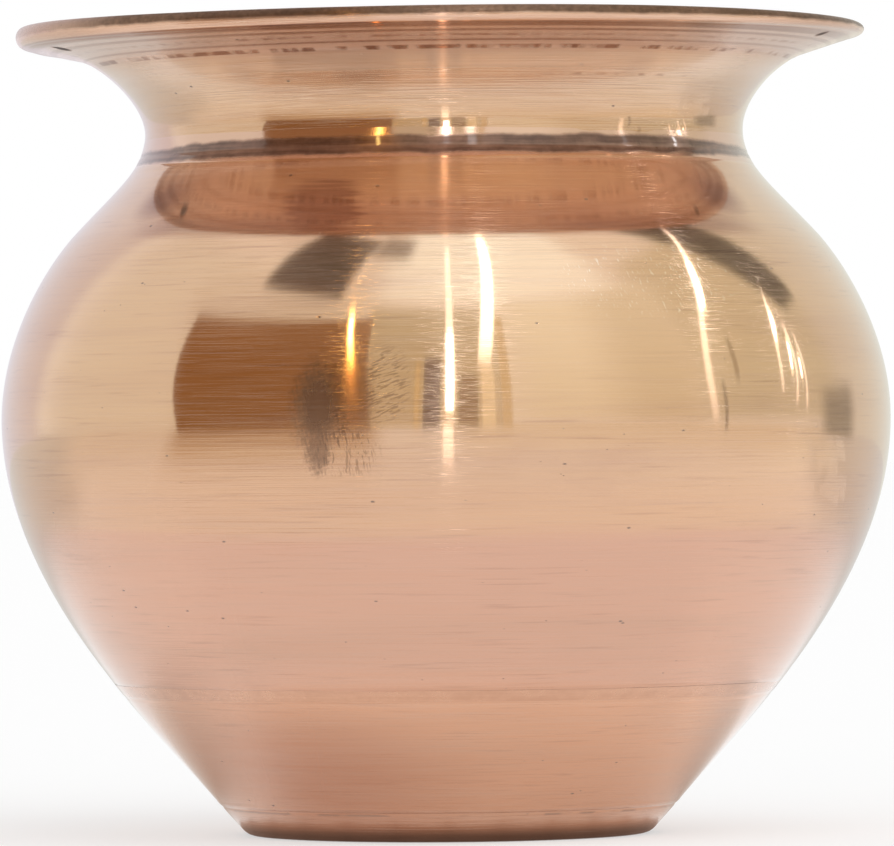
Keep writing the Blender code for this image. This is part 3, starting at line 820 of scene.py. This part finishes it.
# what stands round the pot: degrees round from the camera (right is plus) and degrees up
studioSet = {
    "floor": (0.93, 0.93, 0.93), "floorWhite": 0.5, "floorSize": 60.0,
    "skyLow": 2.5, "skyHigh": 0.55, "skyRise": (0.15, 0.60),
    "sun": 0.75, "sunTurn": 24, "sunSoft": 60,
    "middle": 0.05,  # height that degrees up are counted from
    "underFloor": -4,  # degrees up at which a card's foot is below the floor
    # each card: soft edges across and up, glow at the foot and at the top,
    # lean of the two sides, curve of the whole and slope of the top
    "cards": {
        "backWall": {"round": (108, 186), "up": (-5, 64), "far": 0.95, "soft": (6, 12),
                     "glow": (0.78, 0.77, 0.70)},
        "backLeftWall": {"round": (176, 238), "up": (-5, 64), "far": 0.96, "soft": (10, 12),
                         "glow": (0.78, 0.74, 0.78)},
        "backFloor": {"round": (94, 266), "up": (0.10, 1.3), "lie": 0.0020, "soft": (14, 0.1),
                      "glow": (0.70, 0.68, 0.65)},
        "footShade": {"round": (-179, 179), "up": (0.0225, 0.0280), "lie": 0.00008, "soft": (1, 0.001),
                      "glow": (0.02, 0.012, 0.01), "glowTop": (0.50, 0.34, 0.27)},
        # painted shade on the floor as the metal sees it: darker next to the foot
        "footFloorShade": {"round": (-66, 118), "up": (0.0262, 0.050), "lie": 0.0004, "soft": (30, 0.0035),
                      "glow": (0.66, 0.53, 0.46), "glowTop": (0.95, 0.88, 0.81)},
        # painted shadow on the floor as the metal sees it: dark at the sides and back close to the pot
        "nearFloorShade": {"round": (70, 304), "up": (0.0258, 0.064), "lie": 0.0006, "soft": (40, 0.010),
                      "glow": (0.42, 0.29, 0.22), "glowTop": (0.84, 0.81, 0.78)},
        # painted shade on the floor as the metal sees it: a little darker towards the pot in front
        "frontFloorShade": {"round": (-70, 70), "up": (0.044, 0.14), "lie": 0.0010, "soft": (20, 0.008),
                       "glow": (0.88, 0.86, 0.85), "glowTop": (0.97, 0.96, 0.95)},
        "rightFloor": {"round": (-8, 120), "up": (0.18, 1.2), "lie": 0.0020, "soft": (16, 0.2),
                       "glow": (0.97, 0.95, 0.88), "glowTop": (0.84, 0.76, 0.58)},
        "leftFloor": {"round": (-118, -10), "up": (0.10, 1.3), "lie": 0.0024, "soft": (16, 0.25),
                      "glow": (0.90, 0.87, 0.82), "glowTop": (0.80, 0.72, 0.58)},
        "screenFloor": {"round": (-74, -14), "up": (0.10, 1.1), "lie": 0.0028, "soft": (6, 0.30),
                        "glow": (0.80, 0.68, 0.52), "glowTop": (0.40, 0.26, 0.16)},
        "leftWall": {"round": (-136, -8), "up": (-5, 58), "far": 0.92, "soft": (28, 10),
                     "glow": (0.84, 0.82, 0.76), "glowTop": (0.90, 0.90, 0.87)},
        "rightWall": {"round": (58, 126), "up": (-3.1, 56), "far": 0.92, "soft": (14, 5),
                      "glow": (0.70, 0.69, 0.56), "glowTop": (0.80, 0.77, 0.64)},
        "windowWall": {"round": (6, 73), "up": (-3.1, 50), "far": 0.90, "soft": (20, 5),
                       "glow": (0.90, 0.87, 0.74), "glowTop": (1.05, 1.08, 1.00)},
        "windowShade": {"round": (34, 80), "up": (-3.1, 49), "far": 0.895, "soft": (20, 5),
                        "glow": (0.77, 0.72, 0.58), "glowTop": (0.90, 0.90, 0.80)},
        "middleWall": {"round": (-24, 16), "up": (-5, 46), "far": 0.91, "soft": (3, 3),
                       "glow": (0.66, 0.58, 0.42), "glowTop": (0.64, 0.60, 0.46)},
        "ceilingBox": {"round": (-30, 64), "up": (45, 80), "far": 0.85, "soft": (14, 5),
                       "glow": (1.20, 1.30, 1.36), "glowTop": (1.22, 1.40, 1.52)},
        "leftScreen": {"round": (-70, -17.8), "up": (-5, 36), "far": 0.78, "soft": (1.0, 1.5),
                       "glow": (0.28, 0.145, 0.06), "glowTop": (0.33, 0.18, 0.085),
                       "lean": (-7, -3), "slope": 6},
        "upperLeftDark": {"round": (-65, -32), "up": (46, 71), "far": 0.75, "soft": (4, 2.5),
                          "glow": (0.13, 0.11, 0.10), "lean": (-8, 0)},
        "upperMiddleDark": {"round": (-38, -12), "up": (61, 73), "far": 0.76, "soft": (8, 3),
                            "glow": (0.36, 0.34, 0.33)},
        "upperRightDark": {"round": (110, 120.5), "up": (25, 65), "far": 0.75, "soft": (2.4, 3),
                           "glow": (0.13, 0.12, 0.105), "lean": (-26, 1.5)},
        "farRightDark": {"round": (107, 129), "up": (-5, 9), "far": 0.75, "soft": (7, 5),
                         "glow": (0.38, 0.37, 0.32)},
        "thinPost": {"round": (77.9, 80.0), "up": (11, 27), "far": 0.75, "soft": (0.9, 4),
                     "glow": (0.42, 0.36, 0.26), "lean": (2.6, 2.6)},
        "lowPost": {"round": (73.1, 74.6), "up": (-5, 14), "far": 0.75, "soft": (0.6, 4),
                    "glow": (0.34, 0.30, 0.23)},
        "darkPanel": {"round": (-6, -1.2), "up": (-5, 27), "far": 0.76, "soft": (0.8, 2),
                      "glow": (0.24, 0.19, 0.18)},
        "brownPanel": {"round": (2.6, 8), "up": (-5, 20), "far": 0.76, "soft": (0.8, 3),
                       "glow": (0.38, 0.29, 0.19)},
        "yellowEdge": {"round": (-8.5, -6), "up": (-5, 26), "far": 0.77, "soft": (1, 3),
                       "glow": (0.78, 0.65, 0.38)},
        "yellowPanel": {"round": (13, 16.5), "up": (-5, 43), "far": 0.77, "soft": (1, 3),
                        "glow": (0.78, 0.66, 0.42)},
        "frontLamp": {"round": (-0.4, 1.9), "up": (3, 37), "far": 0.7, "soft": (0.4, 3),
                      "glow": (10, 10, 10)},
        "frontStreak": {"round": (-0.6, 2.1), "up": (33, 70), "far": 0.705, "soft": (0.7, 4),
                        "glow": (1.7, 1.75, 1.8), "glowTop": (2.4, 2.5, 2.6)},
        "frontGlow": {"round": (-1.2, 2.2), "up": (0.13, 1.2), "lie": 0.0032, "soft": (0.9, 0.12),
                      "glow": (1.70, 1.70, 1.68), "glowTop": (3.2, 3.25, 3.3)},
        "ceilingStrip": {"round": (7.1, 11.1), "up": (18, 76), "far": 0.7, "soft": (0.6, 12),
                         "glow": (1.2, 1.15, 1.0), "glowTop": (9.0, 9.2, 9.4),
                         "lean": (5.4, 6.4), "curve": 7},
        "paleStrip": {"round": (8.2, 12.4), "up": (-5, 24), "far": 0.765, "soft": (0.8, 3),
                      "glow": (1.02, 0.95, 0.72)},
        "warmLamp": {"round": (-24.3, -22.4), "up": (20, 42), "far": 0.7, "soft": (0.5, 2),
                     "glow": (4.0, 1.4, 0.25), "glowTop": (30, 20, 6),
                     "lean": (-4.6, -4.6)},
        "sideLamp": {"round": (78.4, 81.6), "up": (35.0, 46.5), "far": 0.7, "soft": (0.6, 2.5),
                     "glow": (14, 14, 14), "lean": (12.3, 12.3)},
        "sideStreak": {"round": (69.0, 72.2), "up": (-3, 56), "far": 0.705, "soft": (1.2, 4),
                       "glow": (1.10, 1.06, 1.00), "glowTop": (3.2, 3.2, 3.2),
                       "lean": (-5.6, -5.6), "curve": 46.4},
        "farLamp": {"round": (98.1, 99.9), "up": (22, 27.8), "far": 0.7, "soft": (0.4, 1.5),
                    "glow": (14, 14, 14), "lean": (4.6, 4.6)},
        "farStreak": {"round": (92.9, 94.5), "up": (6, 33), "far": 0.705, "soft": (0.5, 4),
                      "glow": (1.40, 1.36, 1.28), "glowTop": (2.6, 2.6, 2.6),
                      "lean": (5.3, 5.3), "curve": 9.7},
        "farLampTwo": {"round": (99.0, 100.1), "up": (13, 21), "far": 0.7, "soft": (0.4, 2),
                       "glow": (12, 12, 12), "lean": (3.6, 3.6)},
        "farStreakTwo": {"round": (97.2, 98.5), "up": (2, 26), "far": 0.705, "soft": (0.4, 4),
                         "glow": (1.40, 1.36, 1.28), "glowTop": (2.4, 2.4, 2.4),
                         "lean": (8, 8)},
        "farLampThree": {"round": (102.2, 103.2), "up": (10.5, 16.5), "far": 0.7, "soft": (0.4, 1.5),
                         "glow": (9, 9, 9), "lean": (1.9, 1.9)},
        "farStreakThree": {"round": (101.4, 102.5), "up": (0, 23), "far": 0.705, "soft": (0.4, 4),
                           "glow": (1.40, 1.36, 1.28), "glowTop": (2.2, 2.2, 2.2),
                           "lean": (5.5, 5.5)},
    },
}


def hideFrom(thing, *rays):
    for ray in rays:
        setattr(thing, "visible_" + ray, False)


def card(name, spec):
    bpy.ops.object.select_all(action="DESELECT")
    bpy.ops.mesh.primitive_grid_add(x_subdivisions=24, y_subdivisions=12, size=1.0)
    sheet = bpy.context.object
    sheet.name = sheet.data.name = name
    left, right = spec["round"]
    low, high = spec["up"]
    leanLeft, leanRight = spec.get("lean", (0, 0))
    for corner in sheet.data.vertices:  # bent round the pot
        across, upward = corner.co.x + 0.5, corner.co.y + 0.5
        turn = left + across * (right - left) + upward * (leanLeft + across * (leanRight - leanLeft))
        turn = math.radians(turn + spec.get("curve", 0) * upward ** 3)
        if "lie" in spec:  # a card over the floor gives its height, and metres out in place of degrees up
            reach = low + upward * (high - low)
            height = spec["lie"]
        else:
            rise = math.radians(low + upward * (high - low + across * spec.get("slope", 0)))
            reach = spec["far"] * math.cos(rise)
            height = studioSet["middle"] + spec["far"] * math.sin(rise)
        corner.co = (reach * math.sin(turn), -reach * math.cos(turn), height)
    finish, start = newFinish(name + "Glow")
    place = start.node("ShaderNodeTexCoord", output="UV")
    across, upward = place.split(0), place.split(1)
    softAcross, softUp = spec["soft"][0] / (right - left), spec["soft"][1] / (high - low)
    fade = across.steps(0, softAcross) * (1 - across).steps(0, softAcross) * (1 - upward).steps(0, softUp)
    if low > studioSet["underFloor"]:  # a foot that is hidden below the floor needs no soft edge
        fade = fade * upward.steps(0, softUp)
    shade = upward.blend(spec["glow"], spec.get("glowTop", spec["glow"]))
    glow = start.node("ShaderNodeEmission", None, {"Color": shade, "Strength": 1.0})
    clear = start.node("ShaderNodeBsdfTransparent")
    start.node("ShaderNodeMixShader", None, {0: fade, 1: clear, 2: glow}).surface()
    sheet.data.materials.append(finish)
    hideFrom(sheet, "camera", "diffuse", "shadow", "transmission", "volume_scatter")


def backdropRays(start):  # 1 for what the lens sees, straight on or in the metal
    seen = start.node("ShaderNodeLightPath", output="Is Camera Ray")
    for ray in ("Is Glossy Ray", "Is Transmission Ray"):
        seen = seen.sum("MAXIMUM", seen, start.node("ShaderNodeLightPath", output=ray))
    return seen


def layFloor():
    bpy.ops.object.select_all(action="DESELECT")
    bpy.ops.mesh.primitive_plane_add(size=studioSet["floorSize"])
    floor = bpy.context.object
    floor.name = floor.data.name = "studioFloor"
    finish, start = newFinish("paleFloor")
    paint = start.node("ShaderNodeBsdfDiffuse", None, {"Color": (*studioSet["floor"], 1)})
    white = start.node("ShaderNodeEmission", None, {"Color": (1, 1, 1, 1), "Strength": 1.0})
    whiteShare = backdropRays(start) * studioSet["floorWhite"]
    start.node("ShaderNodeMixShader", None, {0: whiteShare, 1: paint, 2: white}).surface()
    floor.data.materials.append(finish)


def lightStudio():
    sky = bpy.data.worlds.new("studioSky")
    sky.use_nodes = True
    sky.node_tree.nodes.clear()
    start = Wire(sky.node_tree)
    seen = backdropRays(start)
    height = start.node("ShaderNodeTexCoord", output="Generated").split(2)
    low, high = studioSet["skyLow"], studioSet["skyHigh"]
    soft = low + height.steps(*studioSet["skyRise"]) * (high - low)  # most of it comes in low
    level = soft + seen * (1 - soft)
    back = start.node("ShaderNodeBackground", None, {"Color": (1, 1, 1, 1), "Strength": level})
    start.node("ShaderNodeOutputWorld", None, {"Surface": back})
    bpy.context.scene.world = sky
    turn = math.radians(studioSet["sunTurn"])
    bpy.ops.object.light_add(type="SUN", rotation=(turn, turn, 0))
    sun = bpy.context.object
    sun.name = "softOverhead"
    sun.data.energy = studioSet["sun"]
    sun.data.angle = math.radians(studioSet["sunSoft"])
    hideFrom(sun, "glossy")


layFloor()
for cardName, cardSpec in studioSet["cards"].items():
    card(cardName, cardSpec)
lightStudio()
bpy.context.scene.view_settings.view_transform = "Standard"
print("studio set")

print("triangles:", {piece.name: sum(len(face.vertices) - 2 for face in piece.data.polygons)
                     for piece in (baseCup, bellyShell, neckCollar, throatBraze, lowerBraze, rimWire)})
